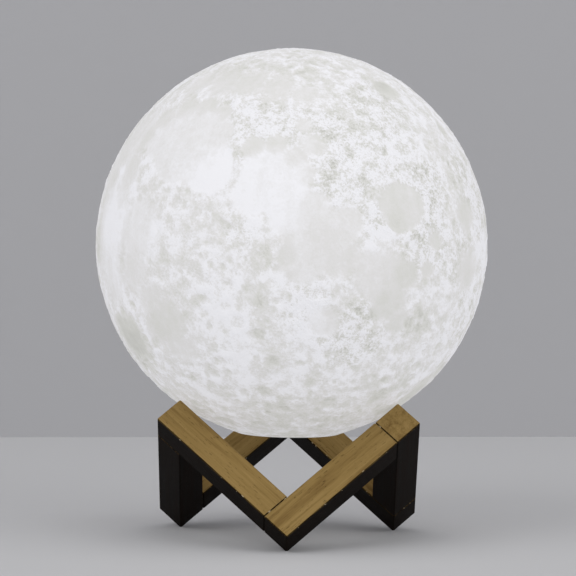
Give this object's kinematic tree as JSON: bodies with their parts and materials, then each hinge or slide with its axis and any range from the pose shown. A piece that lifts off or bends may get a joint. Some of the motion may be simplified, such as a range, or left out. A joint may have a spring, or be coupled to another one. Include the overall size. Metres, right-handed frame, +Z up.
{
  "type": "moon lamp",
  "caption": "Globe lamp with a cratered translucent shell and a plug-in light column, resting on a zigzag stand of square wooden sticks joined as a hexagon.",
  "frame": {"origin": "on the surface that the three feet stand on, under the centre of the globe", "axes": "+Z up through the centre of the globe; the front corner of the stand points to -Y, +X to the right as seen from the front"},
  "size_m": [0.15, 0.15, 0.1873],
  "materials": {
    "wood": "natural sanded wood with black-stained undersides",
    "dowel_wood": "plain beech dowel",
    "moon_pla": "translucent white printed shell with relief, lit from inside",
    "white_plastic": "fine moulded texture",
    "button_plastic": "smooth moulded",
    "black_plastic": "moulded",
    "clear_plastic": "clear, polished ends",
    "frosted_plastic": "frosted, translucent",
    "led_yellow": "phosphor resin",
    "circuit_board": "solder resist",
    "aluminium_board": "white-coated aluminium core",
    "cell_wrap": "shrink wrap",
    "foam": "closed-cell foam",
    "red_lead": "insulated lead",
    "black_lead": "insulated lead",
    "screw_steel": "zinc plated",
    "ring_steel": "fine turned face",
    "socket_steel": "stamped, tin plated",
    "nickel": "thin strip",
    "contact_brass": "plain"
  },
  "bodies": {
    "stand": {"stick_front_left": "wood", "stick_right": "wood", "stick_back_left": "wood", "stick_front_right": "wood", "stick_back_right": "wood", "stick_left": "wood", "stick_dowels": "dowel_wood"},
    "lift_carrier": {"touch_ring": "ring_steel"},
    "moon": {"moon_shell": "moon_pla", "seal_ring": "foam", "shell_screws": "screw_steel", "module_base": "white_plastic", "touch_contact": "contact_brass", "button_switch": "black_plastic", "charging_socket": "socket_steel", "socket_tongue": "black_plastic", "light_pipe": "clear_plastic", "charge_led": "led_yellow", "control_board": "circuit_board", "board_screws": "screw_steel", "controller_chips": "black_plastic", "battery_cell": "cell_wrap", "cell_tabs": "nickel", "foam_rings": "foam", "battery_leads": "red_lead", "battery_tube": "white_plastic", "light_leads": "black_lead", "light_board": "aluminium_board", "light_board_screws": "screw_steel", "light_chips": "led_yellow", "diffuser_dome": "frosted_plastic", "tube_screws": "screw_steel"},
    "power_button": {"power_button": "button_plastic"}
  },
  "joints": [
    {"name": "moon_lift", "type": "slide", "parent": "stand", "child": "lift_carrier", "axis": [0, 0, 1], "range_m": [0, 0.1]},
    {"name": "moon_turn", "type": "hinge", "parent": "lift_carrier", "child": "moon", "pos_m": [0, 0, 0.11227], "axis": [0, 0, 1], "continuous": true},
    {"name": "button_press", "type": "slide", "parent": "moon", "child": "power_button", "axis": [0, 0, 1], "range_m": [0, 0.0006], "stiffness_N_per_m": 1500, "springref_m": -0.0003}
  ]
}
